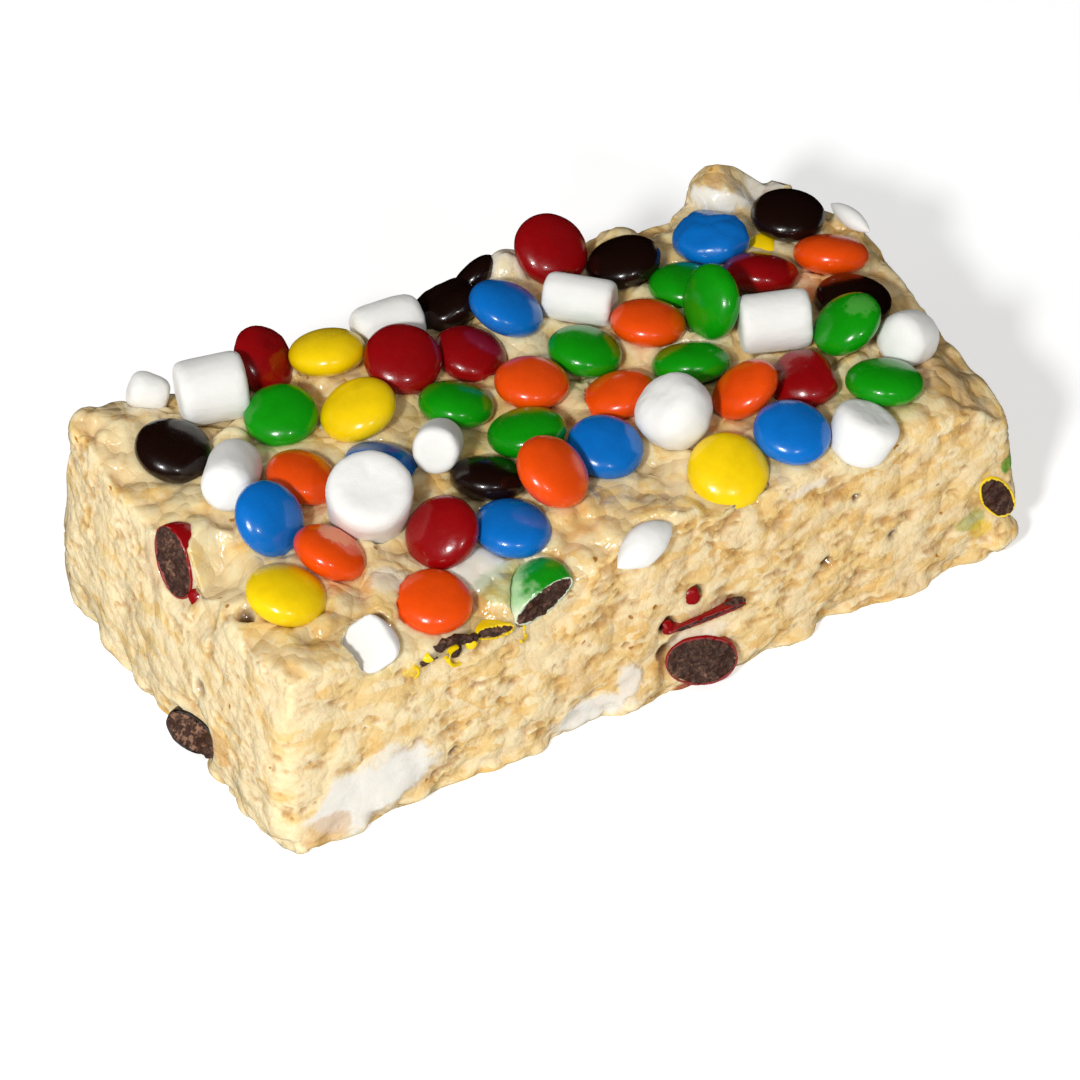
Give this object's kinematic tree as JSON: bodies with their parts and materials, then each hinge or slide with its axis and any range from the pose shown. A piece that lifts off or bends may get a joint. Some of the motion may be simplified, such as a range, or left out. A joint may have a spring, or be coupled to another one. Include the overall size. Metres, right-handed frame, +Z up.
{
  "type": "rice crispy treat",
  "caption": "Thick cut bar of crisped rice and melted marshmallow, topped with colourful sugar-shelled chocolate candies and small marshmallows.",
  "frame": {"origin": "middle of the bar's underside, at the centre of its outline seen from above", "axes": "+X along the bar, away from the cut end, +Y from the long cut face toward the tray side, +Z up"},
  "size_m": [0.1544, 0.0828, 0.0494],
  "materials": {
    "crisps": "crisped rice bound in melted marshmallow, matt where cut and glossy on top",
    "marshmallow": "soft white marshmallow with a powdery skin",
    "candy_red": "polished dark red sugar shell",
    "candy_orange": "polished orange sugar shell",
    "candy_yellow": "polished yellow sugar shell",
    "candy_green": "polished green sugar shell",
    "candy_blue": "polished blue sugar shell",
    "candy_brown": "polished very dark brown sugar shell",
    "chocolate": "dry smeared milk chocolate of a cut candy"
  },
  "bodies": {
    "root": {"candy-01-brown": "candy_brown", "candy-02-red": "candy_red", "candy-03-yellow": "candy_yellow", "candy-04-green": "candy_green", "candy-05-yellow": "candy_yellow", "candy-06-red": "candy_red", "candy-07-red": "candy_red", "candy-08-brown": "candy_brown", "candy-09-blue": "candy_blue", "candy-10-red": "candy_red", "candy-11-brown": "candy_brown", "candy-12-green": "candy_green", "candy-13-orange": "candy_orange", "candy-14-green": "candy_green", "candy-15-orange": "candy_orange", "candy-16-green": "candy_green", "candy-17-orange": "candy_orange", "candy-18-blue": "candy_blue", "candy-19-orange": "candy_orange", "candy-20-brown": "candy_brown", "candy-21-blue": "candy_blue", "candy-22-orange": "candy_orange", "candy-23-blue": "candy_blue", "candy-24-orange": "candy_orange", "candy-25-yellow": "candy_yellow", "candy-26-red": "candy_red", "candy-27-blue": "candy_blue", "candy-28-orange": "candy_orange", "candy-29-blue": "candy_blue", "candy-30-green": "candy_green", "candy-31-green": "candy_green", "candy-32-green": "candy_green", "candy-33-red": "candy_red", "candy-34-brown": "candy_brown", "candy-35-orange": "candy_orange", "candy-36-brown": "candy_brown", "candy-37-green": "candy_green", "candy-38-red": "candy_red", "candy-39-orange": "candy_orange", "candy-40-green": "candy_green", "candy-41-blue": "candy_blue", "candy-42-yellow": "candy_yellow", "crisp-block": "crisps", "cut-candy-brown-end": "candy_brown", "cut-candy-green-front": "candy_green", "cut-candy-red-end": "candy_red", "cut-candy-red-front": "candy_red", "marshmallow-01": "marshmallow", "marshmallow-02": "marshmallow", "marshmallow-03": "marshmallow", "marshmallow-04": "marshmallow", "marshmallow-05": "marshmallow", "marshmallow-06": "marshmallow", "marshmallow-07": "marshmallow", "marshmallow-08": "marshmallow", "marshmallow-09": "marshmallow", "marshmallow-10": "marshmallow", "marshmallow-11": "marshmallow", "marshmallow-12": "marshmallow", "marshmallow-13": "marshmallow"}
  },
  "joints": []
}
